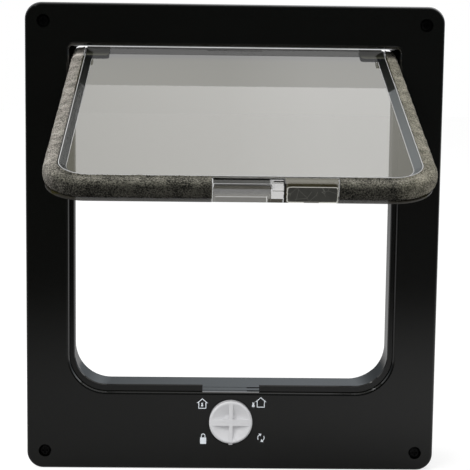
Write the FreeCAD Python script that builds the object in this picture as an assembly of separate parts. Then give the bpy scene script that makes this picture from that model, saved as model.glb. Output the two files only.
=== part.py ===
import FreeCAD, Part
import math
import os
from collections import namedtuple

os.makedirs("parts", exist_ok=True)

# A cat flap for a door: a front frame with the tunnel, a rear frame that telescopes over the tunnel,
# a raised flap with brush seals, a magnetic catch and a rotary four-way lock. Millimetres.
# +X is to the right and +Z is up. The outer face looks along -Y, and Y = 0 is the face that
# lies against the door. The origin is on that face, at the middle of the frame.

# Outer frame; the rail below the sill is as high as the lock needs
side_rail = 26.3
head_rail = 25.05
frame_corner_radius = 10.0
overall_depth = 55.0

# Front frame
flange_depth = 17.0
face_wall = 2.2
skirt_wall = 2.2
outer_edge_round = 1.6
round_steps = 3
tunnel_depth = 41.0
tunnel_wall = 2.5

# Opening through the frame, measured between the tunnel walls
opening_width = 197.4
opening_height = 210.0
opening_foot_radius = 22.5
opening_head_radius = 3.0
opening_edge_round = 1.8

# Lip round the sides and the sill of the opening, with the notch over the lock
lip_start_depth = 2.4
lip_thickness = 4.8
lip_side_height = 3.0
lip_sill_height = 4.0
lip_edge_chamfer = 0.6
lip_drop_below_hinge = 20.0
notch_gap = 1.0

# Stiffening ribs behind the faces
rib_thickness = 1.6
rib_setback = 2.0
side_rib_count = 5
head_rib_count = 4
foot_rib_pitch = 23.5

# Screws through both frames, one in each corner
screw_inset = 11.0
screw_radius = 2.0
screw_engagement = 6.0
screw_seat_gap = 0.02
screw_hole_radius = 2.3
screw_head_radius = 3.6
screw_head_height = 2.6
screw_head_chamfer = 1.1
screw_slot_width = 1.0
screw_slot_depth = 1.2
counterbore_radius = 3.9
counterbore_depth = 3.6
screw_post_half = 5.4
rear_post_half = 4.6

# Rear frame
rear_flange_depth = 12.0
collar_wall = 2.2
collar_clearance = 0.4
collar_reach = 10.0

# Flap: the hinge axis, the tray and its panel
hinge_below_head = 7.7
flap_lip_gap = 0.8
flap_rest_angle = 71.3
flap_thickness = 10.0
flap_seal_room = 4.7
flap_top = 5.4
flap_foot_radius = 18.0
flap_head_radius = 2.0
flap_rim_wall = 0.8
flap_rim_slope = 3.4
flap_head_rail = 1.8
panel_thickness = 2.5
panel_sink = 2.4
head_recess_width = 33.0
head_recess_depth = 0.8
head_recess_border = 0.5
head_bead_radius = 0.85
head_bead_rise = 3.5
head_bead_front = 5.5

# Brush seals round the flap, in front of a thin fin
fin_thickness = 0.8
pile_front = 4.5
pile_start = 2.5
pile_side_gap = 0.4
pile_sill_gap = 0.7
pile_end_gap = 0.3

# Hinge pins and the flap's corner lugs
pin_radius = 1.5
pin_engagement = 3.5
pin_seat_length = 4.4
pin_boss_wall = 1.7
pin_running_gap = 0.05
pin_seat_gap = 0.02
socket_wall = 1.8
socket_end_gap = 0.6
socket_end_wall = 1.2
lug_width = 12.2
lug_height = 14.2
lug_corner_radius = 2.5

# Catch and lock block along the foot of the flap
block_left = -13.7
block_right = 47.2
block_height = 6.4
block_sill_gap = 0.9
block_slot_width = 2.3
block_slot_depth = 1.8
block_slot_inset = 0.3
tongue_left = -12.5
tongue_right = 15.6
tongue_thickness = 3.0
latch_groove_width = 3.3
latch_groove_depth = 6.0
side_notch_right = 21.2
side_notch_wall = 0.6
side_notch_depth = 3.4
side_notch_floor = 1.4

# Magnet in the flap, in a carrier that fills the window of the block
window_left = 23.0
window_right = 46.5
window_front_inset = 2.0
window_back_inset = 0.8
window_depth = 6.2
window_corner_radius = 1.2
carrier_gap = 0.05
carrier_wall = 1.0
flap_magnet_width = 18.0
magnet_gap = 0.05

# Magnet under the sill
sill_magnet_width = 9.6
sill_magnet_height = 4.0
sill_magnet_depth = 7.0
magnet_pocket_wall = 1.2
magnet_pocket_start = 6.0
pocket_plug_length = 3.0

# Rotary lock: dial, shaft, two lock discs and the cover behind them
dial_drop_below_sill = 18.0
dial_radius = 13.2
dial_height = 4.8
dial_gap = 0.4
dial_edge_chamfer = 0.8
dial_rim_width = 1.5
dial_rib_width = 2.4
dial_crossbar_width = 4.0
dial_dish_depth = 2.2
dial_dish_floor = 5.0
dial_recess_depth = 0.6
dial_recess_gap = 1.6
pointer_reach = 14.4
pointer_width = 2.4
pointer_height = 2.6
shaft_radius = 4.0
shaft_gap = 0.06
drive_square = 5.6
drive_gap = 0.05
journal_radius = 2.4
bearing_radius = 7.0
disc_radius = 27.5
disc_gap = 0.5
disc_foot_gap = 0.75
front_disc_gap = 2.7
front_disc_thickness = 2.6
rear_disc_thickness = 2.2
disc_tongue_gap = 0.5
flat_drop = 0.1
hub_radius = 7.0
detent_depth = 0.9
ring_radius = 4.2
ring_thickness = 0.8
ring_mouth = 3.2
ring_groove_depth = 0.6
ring_gap = 0.05
lock_dial_stop = 122.0
lock_dial_stage = 58.0

# Chamber round the lock discs, closed from behind by the cover
chamber_gap = 1.1
chamber_wall = 1.6
cover_gap = 0.2
cover_corner_radius = 1.0
cover_recess_depth = 1.6
cover_recess_radius = 5.6
cover_screw_inset = 4.0
cover_post_half = 2.5
cover_screw_radius = 1.1
cover_screw_length = 8.0
cover_screw_head_radius = 2.1
cover_screw_head_height = 1.2
cover_screw_gap = 0.05
cover_screw_slot = 0.7

# Detent spring, a steel leaf under the hub
leaf_thickness = 0.5
leaf_width = 3.2
leaf_nose_gap = 0.15
leaf_nose_width = 3.0
leaf_nose_height = 1.4
leaf_end_gap = 0.1
leaf_slot_wall = 1.4
leaf_slot_gap = 0.05
leaf_slot_length = 2.4

# How far a fused form reaches into its neighbour, and a cutting form past a face
sink = 0.5
past = 1.0

# Sizes and places worked out from the values above
foot_rail = dial_drop_below_sill + disc_radius + disc_foot_gap + skirt_wall
frame_width = opening_width + 2 * side_rail
frame_height = opening_height + head_rail + foot_rail
face_y = -flange_depth
tunnel_end_y = face_y + tunnel_depth
back_y = face_y + overall_depth
rear_flange_y = back_y - rear_flange_depth
sill_z = -frame_height / 2 + foot_rail
head_z = sill_z + opening_height
half_thickness = flap_thickness / 2
flap_half_width = opening_width / 2 - lip_side_height - flap_seal_room
hinge_z = head_z - hinge_below_head
hinge_y = face_y + lip_start_depth + lip_thickness + flap_lip_gap + half_thickness
dial_z = sill_z - dial_drop_below_sill
sill_drop = hinge_z - sill_z
lip_drop = sill_drop - lip_sill_height
block_end = lip_drop - block_sill_gap
block_start = block_end - block_height
flap_front_y = hinge_y - half_thickness
front_disc_y = flap_front_y - front_disc_gap - front_disc_thickness
rear_disc_y = flap_front_y + tongue_thickness + disc_tongue_gap
cover_y = rear_disc_y + rear_disc_thickness + disc_gap
cover_back_y = 0.0
notch_half_width = math.sqrt(disc_radius ** 2 - (dial_drop_below_sill + lip_sill_height) ** 2) + notch_gap
chamber_half_width = disc_radius + chamber_gap
chamber_foot_z = -frame_height / 2 + skirt_wall
cover_screw_x = chamber_half_width - cover_screw_inset
cover_screw_z = chamber_foot_z + cover_screw_inset
window_middle = (window_left + window_right) / 2
pin_start = flap_half_width - pin_seat_length
lug_inner = flap_half_width - flap_rim_slope - lug_width
pin_end = opening_width / 2 + pin_engagement
screw_x = frame_width / 2 - screw_inset
screw_z = frame_height / 2 - screw_inset
screw_seat_y = face_y + counterbore_depth
screw_end_y = rear_flange_y + screw_engagement
floor_under_z = sill_z - tunnel_wall

Outline = namedtuple("Outline", "half_width low high foot_radius head_radius")

frame_outline = Outline(frame_width / 2, -frame_height / 2, frame_height / 2,
                        frame_corner_radius, frame_corner_radius)
opening = Outline(opening_width / 2, sill_z, head_z, opening_foot_radius, opening_head_radius)
lip_inside = Outline(opening_width / 2 - lip_side_height, sill_z + lip_sill_height, head_z,
                     opening_foot_radius - lip_side_height, opening_head_radius)
flap_edge = Outline(flap_half_width, hinge_z - block_start, hinge_z + flap_top,
                    flap_foot_radius, flap_head_radius)
pile_edge = Outline(lip_inside.half_width - pile_side_gap, lip_inside.low + pile_sill_gap, hinge_z + flap_top,
                    flap_foot_radius + lip_side_height, flap_head_radius)


# Basic forms

def vec(x, y, z):
    return FreeCAD.Vector(x, y, z)


def grown(outline, by):
    return Outline(outline.half_width + by, outline.low - by, outline.high + by,
                   max(outline.foot_radius + by, 0.3), max(outline.head_radius + by, 0.3))


def corner_arc(cx, cz, radius, start_degrees, y):
    points = []
    for degrees in (start_degrees, start_degrees + 45, start_degrees + 90):
        turn = math.radians(degrees)
        points.append(vec(cx + radius * math.cos(turn), y, cz + radius * math.sin(turn)))
    return Part.Arc(*points).toShape()


def outline_wire(o, y):
    """A rectangle with round corners in the plane at y."""
    foot, head = o.foot_radius, o.head_radius
    arcs = [corner_arc(o.half_width - head, o.high - head, head, 0, y),
            corner_arc(-o.half_width + head, o.high - head, head, 90, y),
            corner_arc(-o.half_width + foot, o.low + foot, foot, 180, y),
            corner_arc(o.half_width - foot, o.low + foot, foot, 270, y)]
    edges = []
    for here, following in zip(arcs, arcs[1:] + arcs[:1]):
        edges.append(here)
        edges.append(Part.LineSegment(here.Vertexes[-1].Point, following.Vertexes[0].Point).toShape())
    return Part.Wire(edges)


def slab(o, y_front, y_back):
    return Part.Face(outline_wire(o, y_front)).extrude(vec(0, y_back - y_front, 0))


def tapered_slab(front, back, y_front, y_back):
    return Part.makeLoft([outline_wire(front, y_front), outline_wire(back, y_back)], True, True)


def rounded_edge(o, way, y_face, inward, radius):
    """Tapered slabs that step round an edge on the face: way is -1 for an outer edge, 1 for a hole."""
    turns = [math.pi / 2 * i / round_steps for i in range(round_steps + 1)]
    places = [(way * radius * (1 - math.sin(t)), y_face + inward * radius * (1 - math.cos(t))) for t in turns]
    return [tapered_slab(grown(o, by), grown(o, next_by), y, next_y)
            for (by, y), (next_by, next_y) in zip(places, places[1:])]


def box(x0, x1, y0, y1, z0, z1):
    return Part.makeBox(x1 - x0, y1 - y0, z1 - z0, vec(x0, y0, z0))


def post_y(x, z, half, y0, y1):
    return box(x - half, x + half, y0, y1, z - half, z + half)


def rod_y(x, z, radius, y0, y1):
    return Part.makeCylinder(radius, y1 - y0, vec(x, y0, z), vec(0, 1, 0))


def rod_x(x0, x1, radius, y, z):
    return Part.makeCylinder(radius, x1 - x0, vec(x0, y, z), vec(1, 0, 0))


def joined(shapes):
    return shapes[0].fuse(shapes[1:]).removeSplitter()


def edges_in_plane(shape, y, keep):
    """The edges of a shape that lie in the plane at y and whose middle passes the test."""
    found = []
    for edge in shape.Edges:
        middle = edge.valueAt((edge.FirstParameter + edge.LastParameter) / 2)
        points = [v.Point for v in edge.Vertexes] + [middle]
        if all(abs(p.y - y) < 1e-4 for p in points) and keep(middle):
            found.append(edge)
    return found


def end_ring(turned, y):
    """The round edge at one end of a turned part."""
    return [e for e in turned.Edges if e.Closed and abs(e.Vertexes[0].Point.y - y) < 1e-4]


def save(name, shape):
    shape.exportStep("parts/" + name + ".step")


# Front frame

def screw_places():
    return [(side * screw_x, level * screw_z) for level in (1, -1) for side in (-1, 1)]


def flange_shell(y_face, y_open, edge_round):
    """A shallow tray with its mouth at y_open, and a rounded outer edge on its face."""
    inward = 1 if y_open > y_face else -1
    skirt = slab(frame_outline, y_face + inward * edge_round, y_open)
    plate = skirt.fuse(rounded_edge(frame_outline, -1, y_face, inward, edge_round))
    return plate.cut(slab(grown(frame_outline, -skirt_wall), y_face + inward * face_wall, y_open))


def rib_pattern(y_low, y_high, bore):
    """Cross ribs between the skirt and the tunnel, along both sides and the head."""
    ribs = []
    inner_x = bore.half_width
    outer_x = frame_width / 2 - skirt_wall / 2
    pitch = 2 * screw_z / (side_rib_count + 1)
    for i in range(1, side_rib_count + 1):
        z = -screw_z + i * pitch
        for side in (-1, 1):
            x0, x1 = sorted((side * inner_x, side * outer_x))
            ribs.append(box(x0, x1, y_low, y_high, z - rib_thickness / 2, z + rib_thickness / 2))
    pitch = 2 * screw_x / (head_rib_count + 1)
    for i in range(1, head_rib_count + 1):
        x = -screw_x + i * pitch
        ribs.append(box(x - rib_thickness / 2, x + rib_thickness / 2, y_low, y_high,
                        bore.high, frame_height / 2 - skirt_wall / 2))
    return ribs


def foot_ribs(y_low, y_high, bore, inner_x):
    """A lengthwise rib and cross ribs below the opening, outwards from inner_x on both sides."""
    ribs = []
    low, high = -frame_height / 2 + skirt_wall / 2, bore.low
    outer_x = frame_width / 2 - skirt_wall / 2
    middle = (low + high) / 2
    half = rib_thickness / 2
    for side in (-1, 1):
        x0, x1 = sorted((side * inner_x, side * outer_x))
        ribs.append(box(x0, x1, y_low, y_high, middle - half, middle + half))
        for i in range(1, int((outer_x - inner_x) / foot_rib_pitch)):
            x = side * (inner_x + i * foot_rib_pitch)
            ribs.append(box(x - half, x + half, y_low, y_high, low, high))
    return ribs


def lip_ring():
    y0 = face_y + lip_start_depth
    y1 = y0 + lip_thickness
    ring = slab(grown(opening, tunnel_wall / 2), y0, y1).cut(slab(lip_inside, y0, y1))
    rims = [e for y in (y0, y1) for e in edges_in_plane(ring, y, near_lip_inside)]
    ring = ring.makeChamfer(lip_edge_chamfer, rims)
    top = hinge_z - lip_drop_below_hinge
    above = box(-opening_width, opening_width, y0 - past, y1 + past, top, top + opening_height)
    notch = box(-notch_half_width, notch_half_width, y0 - past, y1 + past, sill_z, top)
    return ring.cut([above, notch])


def near_lip_inside(point):
    inside = grown(lip_inside, lip_side_height / 2)
    return abs(point.x) < inside.half_width and inside.low < point.z < head_z - opening_head_radius


def lock_chamber():
    """Walls round the lock discs, the bearing behind the face and the posts for the cover."""
    y0, y1 = face_y + face_wall / 2, 0.0
    low, high = chamber_foot_z - skirt_wall / 2, floor_under_z + tunnel_wall / 2
    parts = []
    for side in (-1, 1):
        x0, x1 = sorted((side * chamber_half_width, side * (chamber_half_width + chamber_wall)))
        parts.append(box(x0, x1, y0, y1, low, high))
        parts.append(post_y(side * cover_screw_x, cover_screw_z, cover_post_half, y0, cover_y))
        parts.append(leaf_post(side))
    parts.append(rod_y(0, dial_z, bearing_radius, y0, front_disc_y - disc_gap / 2))
    return parts


def leaf_height():
    """Height of the flat part of the leaf spring's middle plane."""
    return dial_z - hub_radius - leaf_nose_gap - leaf_nose_height - leaf_thickness / 2


def leaf_middle_y():
    return (front_disc_y + front_disc_thickness + rear_disc_y) / 2


def leaf_post(side):
    """A slotted rib on the chamber's wall, which holds one end of the leaf spring."""
    y0, y1 = leaf_middle_y() - leaf_width / 2, leaf_middle_y() + leaf_width / 2
    z = leaf_height()
    x0, x1 = sorted((side * (chamber_half_width + sink), side * (chamber_half_width - leaf_slot_length)))
    reach = leaf_thickness / 2 + leaf_slot_gap
    upper = box(x0, x1, y0, y1, z + reach, z + reach + leaf_slot_wall)
    lower = box(x0, x1, y0, y1, z - reach - leaf_slot_wall, z - reach)
    return upper.fuse(lower)


def magnet_pocket():
    half = sill_magnet_width / 2 + magnet_gap + magnet_pocket_wall
    low = floor_under_z - sill_magnet_height - 2 * magnet_gap - magnet_pocket_wall
    y0 = face_y + magnet_pocket_start
    return box(window_middle - half, window_middle + half, y0 - magnet_pocket_wall, 0,
               low, floor_under_z + tunnel_wall / 2)


def magnet_room():
    half = sill_magnet_width / 2 + magnet_gap
    y0 = face_y + magnet_pocket_start
    return box(window_middle - half, window_middle + half, y0, past,
               floor_under_z - sill_magnet_height - 2 * magnet_gap, floor_under_z)


def hinge_sockets():
    sockets = []
    for side in (-1, 1):
        x0, x1 = sorted((side * (opening_width / 2 + tunnel_wall / 2),
                         side * (pin_end + socket_end_gap + socket_end_wall)))
        reach = pin_radius + socket_wall
        sockets.append(box(x0, x1, hinge_y - reach, hinge_y + reach, hinge_z - reach, hinge_z + reach))
    return sockets


def hinge_bores():
    bores = []
    for side in (-1, 1):
        x0, x1 = sorted((side * (opening_width / 2 - past), side * (pin_end + socket_end_gap)))
        bores.append(rod_x(x0, x1, pin_radius + pin_running_gap, hinge_y, hinge_z))
    return bores


def front_frame():
    shell = flange_shell(face_y, 0.0, outer_edge_round)
    tunnel = slab(grown(opening, tunnel_wall), face_y + face_wall / 2, tunnel_end_y)
    y_floor = face_y + face_wall / 2
    bore = grown(opening, tunnel_wall / 2)
    body = [shell, tunnel] + rib_pattern(y_floor, -rib_setback, bore)
    body += foot_ribs(y_floor, -rib_setback, bore, chamber_half_width + chamber_wall / 2)
    for x, z in screw_places():
        body.append(post_y(x, z, screw_post_half, y_floor, 0))
    body += lock_chamber() + hinge_sockets() + [magnet_pocket()]
    frame = body[0].fuse(body[1:])
    frame = frame.cut([slab(opening, face_y - past, tunnel_end_y + past)]
                      + rounded_edge(opening, 1, face_y, 1, opening_edge_round))
    frame = frame.fuse(lip_ring())
    cuts = hinge_bores() + [magnet_room()]
    cuts.append(disc_slot(front_disc_y, front_disc_thickness))
    cuts.append(disc_slot(rear_disc_y, rear_disc_thickness))
    for x, z in screw_places():
        cuts.append(rod_y(x, z, screw_hole_radius, face_y - past, past))
        cuts.append(rod_y(x, z, counterbore_radius, face_y - past, screw_seat_y))
    cuts.append(rod_y(0, dial_z, dial_radius + dial_recess_gap, face_y - past, face_y + dial_recess_depth))
    cuts.append(rod_y(0, dial_z, shaft_radius + shaft_gap, face_y - past, front_disc_y))
    for side in (-1, 1):
        cuts.append(rod_y(side * cover_screw_x, cover_screw_z, cover_screw_radius + cover_screw_gap,
                          cover_y - cover_screw_length, past))
    return frame.cut(cuts).removeSplitter()


def disc_slot(y, thickness):
    """Slot through the sill and the ends of the lip for a lock disc."""
    room = rod_y(0, dial_z, disc_radius + disc_gap, y - disc_gap / 2, y + thickness + disc_gap / 2)
    above = box(-disc_radius, disc_radius, face_y, past, floor_under_z - disc_gap, sill_z + disc_radius)
    return room.common(above)


# Rear frame

def collar_inside():
    return grown(opening, tunnel_wall + collar_clearance)


def rear_frame():
    shell = flange_shell(back_y, rear_flange_y, outer_edge_round)
    inside = collar_inside()
    outside = grown(inside, collar_wall)
    collar = slab(outside, rear_flange_y - collar_reach, back_y - face_wall / 2)
    y_floor = back_y - face_wall / 2
    bore = grown(inside, collar_wall / 2)
    body = [shell, collar] + rib_pattern(rear_flange_y + rib_setback, y_floor, bore)
    body += foot_ribs(rear_flange_y + rib_setback, y_floor, bore, 0.0)
    for x, z in screw_places():
        body.append(post_y(x, z, rear_post_half, rear_flange_y, y_floor))
    frame = body[0].fuse(body[1:])
    frame = frame.cut([slab(inside, rear_flange_y - collar_reach - past, back_y + past)]
                      + rounded_edge(inside, 1, back_y, -1, opening_edge_round))
    bores = [rod_y(x, z, screw_radius + screw_seat_gap, rear_flange_y - past, back_y - face_wall)
             for x, z in screw_places()]
    return frame.cut(bores).removeSplitter()


def frame_screw(x, z):
    """Pan head screw with a cross slot, seated in the counterbore."""
    top = screw_seat_y - screw_head_height
    head = rod_y(x, z, screw_head_radius, top, screw_seat_y)
    head = head.makeChamfer(screw_head_chamfer, end_ring(head, top))
    shank = rod_y(x, z, screw_radius, screw_seat_y, screw_end_y)
    reach = screw_head_radius / 2
    half = screw_slot_width / 2
    cross = box(x - reach, x + reach, top, top + screw_slot_depth, z - half, z + half)
    cross = cross.fuse(box(x - half, x + half, top, top + screw_slot_depth, z - reach, z + reach))
    return head.fuse(shank).cut(cross)


# Flap, drawn hanging shut and then raised to the angle of rest

def flap_box(x0, x1, s0, s1, w0, w1):
    """A box given by its distance below the hinge axis, s, and in front of it, w."""
    return box(x0, x1, hinge_y - w1, hinge_y - w0, hinge_z - s1, hinge_z - s0)


def raised(shape):
    placed = shape.copy()
    placed.rotate(vec(0, hinge_y, hinge_z), vec(1, 0, 0), -flap_rest_angle)
    return placed


def flap_tray():
    """The moulded tray: a thin sheet inside a sloped front rim, with a back rim that is open at the head."""
    sheet_y, back_y = flap_front_y + panel_sink, flap_front_y + flap_thickness
    tray = slab(flap_edge, flap_front_y, back_y)
    top_of_rim = grown(flap_edge, -flap_rim_wall)._replace(high=hinge_z + flap_top - flap_head_rail)
    foot_of_rim = grown(top_of_rim, -flap_rim_slope)._replace(high=top_of_rim.high - flap_rim_wall)
    front_room = tapered_slab(top_of_rim, foot_of_rim, flap_front_y, sheet_y)
    back_room = slab(top_of_rim._replace(high=flap_edge.high + past), sheet_y + panel_thickness, back_y)
    half = head_recess_width / 2
    rail_end = flap_head_rail - flap_top
    floor_w = half_thickness - panel_sink
    head_recess = flap_box(-half, half, rail_end - head_recess_depth, rail_end + flap_rim_wall,
                           floor_w + head_recess_border, half_thickness - head_recess_border)
    return tray.cut([front_room, back_room, head_recess]).fuse(head_bead())


def head_bead():
    """Round bead along the head of the flap, which narrows the gap below the head of the opening."""
    half = flap_half_width - flap_head_radius
    return rod_x(-half, half, head_bead_radius, hinge_y - head_bead_front, hinge_z + head_bead_rise)


def seal_fins():
    """Thin fin behind the brush seals, down both sides and along the foot, up to the catch block."""
    back_y = flap_front_y + flap_thickness
    inside = slab(grown(flap_edge, -sink), flap_front_y, back_y)
    ring = slab(pile_edge, back_y - fin_thickness, back_y).cut(inside)
    fins = []
    for x0, x1 in ((-frame_width, block_left + sink), (block_right - sink, frame_width)):
        fins.append(ring.common(flap_box(x0, x1, pile_start, lip_drop, -flap_thickness, 0)))
    return fins


def hinge_lugs():
    """Raised plates in the top corners of the tray, with a small boss under each for its hinge pin."""
    lugs = []
    outer = flap_half_width - flap_rim_wall
    panel_front = half_thickness - panel_sink
    for side in (-1, 1):
        x0, x1 = sorted((side * (pin_start - pin_boss_wall / 2), side * outer))
        reach = pin_radius + pin_boss_wall
        lugs.append(flap_box(x0, x1, -reach, reach, -reach, panel_front))
        x0, x1 = sorted((side * lug_inner, side * outer))
        lug = flap_box(x0, x1, -flap_top, lug_height - flap_top, panel_front - sink, half_thickness)
        edge = [e for e in lug.Edges
                if all(abs(v.Point.z - hinge_z + lug_height - flap_top) < 1e-4 and
                       abs(v.Point.x - side * lug_inner) < 1e-4 for v in e.Vertexes)]
        lugs.append(lug.makeFillet(lug_corner_radius, edge))
    return lugs


def catch_block():
    """Solid block along the foot of the flap, with the lock tongue and the magnet window."""
    block = flap_box(block_left, block_right, block_start - sink, block_end, -half_thickness, half_thickness)
    slot_start = block_start + block_slot_inset
    slot = flap_box(block_left + flap_rim_wall, side_notch_right, slot_start, slot_start + block_slot_width,
                    half_thickness - block_slot_depth, half_thickness + past)
    groove_front = half_thickness - tongue_thickness
    groove = flap_box(tongue_left, tongue_right, block_end - latch_groove_depth, block_end + past,
                      groove_front - latch_groove_width, groove_front)
    notch = flap_box(tongue_right + side_notch_wall, side_notch_right, block_end - side_notch_depth,
                     block_end + past, side_notch_floor, half_thickness + past)
    return block.cut([slot, groove, notch, magnet_window(0.0)])


def magnet_window(inset):
    """The room for the magnet's carrier, open at the foot of the block."""
    room = flap_box(window_left + inset, window_right - inset, block_end - window_depth + inset, block_end,
                    -half_thickness + window_back_inset + inset, half_thickness - window_front_inset - inset)
    uprights = [e for e in room.Edges if abs(e.tangentAt(e.FirstParameter).z) > 0.99]
    return room.makeFillet(window_corner_radius, uprights)


def flap_panel():
    panel = joined([flap_tray()] + seal_fins() + hinge_lugs() + [catch_block()])
    bores = []
    for side in (-1, 1):
        x0, x1 = sorted((side * pin_start, side * (flap_half_width + past)))
        bores.append(rod_x(x0, x1, pin_radius + pin_seat_gap, hinge_y, hinge_z))
    return raised(panel.cut(bores).removeSplitter())


def hinge_pin(side):
    x0, x1 = sorted((side * pin_start, side * pin_end))
    return raised(rod_x(x0, x1, pin_radius, hinge_y, hinge_z))


def pile_strip(side):
    """Brush seal down one side of the flap and along its foot, up to the catch block."""
    y0, y1 = hinge_y - pile_front, flap_front_y + flap_thickness - fin_thickness
    ring = slab(pile_edge, y0, y1).cut(slab(flap_edge, y0, y1))
    if side < 0:
        x0, x1 = -frame_width, block_left - pile_end_gap
    else:
        x0, x1 = block_right + pile_end_gap, frame_width
    return raised(ring.common(flap_box(x0, x1, pile_start, lip_drop, -flap_thickness, flap_thickness)))


def flap_magnet_form(gap):
    """The flap's magnet, or with no gap the room for it, open towards the panel."""
    half = flap_magnet_width / 2 - gap
    front = half_thickness - window_front_inset - carrier_wall - gap
    back = -half_thickness + window_back_inset + carrier_wall + gap
    return flap_box(window_middle - half, window_middle + half, block_end - window_depth + carrier_gap,
                    block_end - carrier_wall - gap, back, front)


def magnet_carrier():
    return raised(magnet_window(carrier_gap).cut(flap_magnet_form(0.0)))


def flap_magnet():
    return raised(flap_magnet_form(magnet_gap))


# Catch magnet under the sill

def sill_magnet():
    half = sill_magnet_width / 2
    y0 = face_y + magnet_pocket_start + magnet_gap
    high = floor_under_z - magnet_gap
    return box(window_middle - half, window_middle + half, y0, y0 + sill_magnet_depth,
               high - sill_magnet_height, high)


def magnet_plug():
    """Plug that keeps the sill magnet in its pocket, with a finger groove in its back."""
    half = sill_magnet_width / 2
    y0 = face_y + magnet_pocket_start + 2 * magnet_gap + sill_magnet_depth
    high = floor_under_z - magnet_gap
    plug = box(window_middle - half, window_middle + half, y0, y0 + pocket_plug_length,
               high - sill_magnet_height, high)
    back = y0 + pocket_plug_length
    groove = rod_x(window_middle - half - past, window_middle + half + past, sill_magnet_height / 4,
                   back, high - sill_magnet_height / 2)
    return plug.cut(groove)


# Rotary lock

def lock_dial():
    back = face_y - dial_gap + dial_recess_depth
    front = back - dial_height
    knob = rod_y(0, dial_z, dial_radius, front, back)
    knob = knob.makeChamfer(dial_edge_chamfer, end_ring(knob, front))
    tip = pointer_reach - dial_radius / 2
    pointer = box(-pointer_width / 2, pointer_width / 2, back - pointer_height, back,
                  dial_z - pointer_reach, dial_z - pointer_reach + tip)
    dish = Part.makeCone(dial_radius - dial_rim_width, dial_dish_floor, dial_dish_depth,
                         vec(0, front, dial_z), vec(0, 1, 0))
    span = dial_radius * 2
    cross = box(-dial_rib_width / 2, dial_rib_width / 2, front, back, dial_z - span, dial_z + span)
    cross = cross.fuse(box(-span, span, front, back, dial_z - dial_crossbar_width / 2,
                           dial_z + dial_crossbar_width / 2))
    knob = knob.fuse(pointer).cut(dish.cut(cross))
    return joined([knob] + dial_shaft(back))


def dial_shaft(back):
    groove_end = ring_y() + ring_thickness
    neck = rod_y(0, dial_z, shaft_radius, back - dial_height / 3, front_disc_y - disc_gap / 2)
    square = drive_prism(drive_square, front_disc_y - disc_gap, cover_y - disc_gap / 2)
    journal = rod_y(0, dial_z, journal_radius, cover_y - disc_gap, groove_end + ring_groove_depth)
    groove = rod_y(0, dial_z, journal_radius + past, ring_y(), groove_end)
    groove = groove.cut(rod_y(0, dial_z, journal_radius - ring_groove_depth, ring_y(), groove_end))
    return [neck, square, journal.cut(groove)]


def ring_y():
    """Where the retaining ring starts, on the floor of the recess in the cover."""
    return cover_back_y - cover_recess_depth + ring_gap


def drive_prism(across, y0, y1):
    return box(-across / 2, across / 2, y0, y1, dial_z - across / 2, dial_z + across / 2)


def lock_disc(y, thickness, flats):
    """A disc whose flats lie level with the sill and whose round stretches stand above it."""
    disc = rod_y(0, dial_z, disc_radius, y, y + thickness)
    level = dial_drop_below_sill - flat_drop
    for turn in flats:
        waste = box(-disc_radius, disc_radius, y - past, y + thickness + past,
                    dial_z + level, dial_z + disc_radius + past)
        waste.rotate(vec(0, 0, dial_z), vec(0, 1, 0), turn)
        disc = disc.cut(waste)
    return disc


def detent_hub(y0, y1):
    """Hub with a notch for each place where the dial stops."""
    hub = rod_y(0, dial_z, hub_radius, y0, y1)
    for turn in (0, lock_dial_stage, -lock_dial_stage, lock_dial_stop, -lock_dial_stop):
        notch = rod_y(0, dial_z - hub_radius - leaf_nose_width / 2 + detent_depth, leaf_nose_width / 2,
                      y0 - past, y1 + past)
        notch.rotate(vec(0, 0, dial_z), vec(0, 1, 0), -turn)
        hub = hub.cut(notch)
    return hub


def front_lock_disc():
    """Stands up in front of the tongue when the dial points to the two left-hand signs."""
    flats = (0, lock_dial_stage, (lock_dial_stage + lock_dial_stop) / 2, lock_dial_stop)
    disc = lock_disc(front_disc_y, front_disc_thickness, flats)
    hub = detent_hub(front_disc_y + front_disc_thickness, rear_disc_y)
    bore = drive_prism(drive_square + 2 * drive_gap, face_y, 0)
    return disc.fuse(hub).cut(bore).removeSplitter()


def rear_lock_disc():
    """Stands up behind the tongue at the lower left sign and at the upper right one."""
    disc = lock_disc(rear_disc_y, rear_disc_thickness, (0, lock_dial_stage, -lock_dial_stop))
    return disc.cut(drive_prism(drive_square + 2 * drive_gap, face_y, 0))


def lock_cover():
    high = floor_under_z - cover_gap
    low = chamber_foot_z + cover_gap
    half = chamber_half_width - cover_gap
    plate = box(-half, half, cover_y, cover_back_y, low, high)
    corners = [e for e in plate.Edges if abs(e.tangentAt(e.FirstParameter).y) > 0.99]
    plate = plate.makeFillet(cover_corner_radius, corners)
    cuts = [rod_y(0, dial_z, journal_radius + shaft_gap, cover_y - past, past),
            rod_y(0, dial_z, cover_recess_radius, cover_back_y - cover_recess_depth, past)]
    for side in (-1, 1):
        x, z = side * cover_screw_x, cover_screw_z
        cuts.append(rod_y(x, z, cover_screw_radius + cover_screw_gap, cover_y - past, past))
        cuts.append(rod_y(x, z, cover_screw_head_radius + cover_screw_gap,
                          cover_back_y - cover_screw_head_height - cover_screw_gap, past))
    return plate.cut(cuts)


def cover_screws():
    screws = []
    seat = cover_back_y - cover_screw_head_height - cover_screw_gap
    for side in (-1, 1):
        x, z = side * cover_screw_x, cover_screw_z
        head = rod_y(x, z, cover_screw_head_radius, seat, seat + cover_screw_head_height)
        shank = rod_y(x, z, cover_screw_radius, seat - cover_screw_length, seat)
        slot = box(x - cover_screw_head_radius, x + cover_screw_head_radius,
                   seat + cover_screw_head_height / 2, seat + cover_screw_head_height + past,
                   z - cover_screw_slot / 2, z + cover_screw_slot / 2)
        screws.append(head.fuse(shank).cut(slot))
    return Part.makeCompound(screws)


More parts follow.
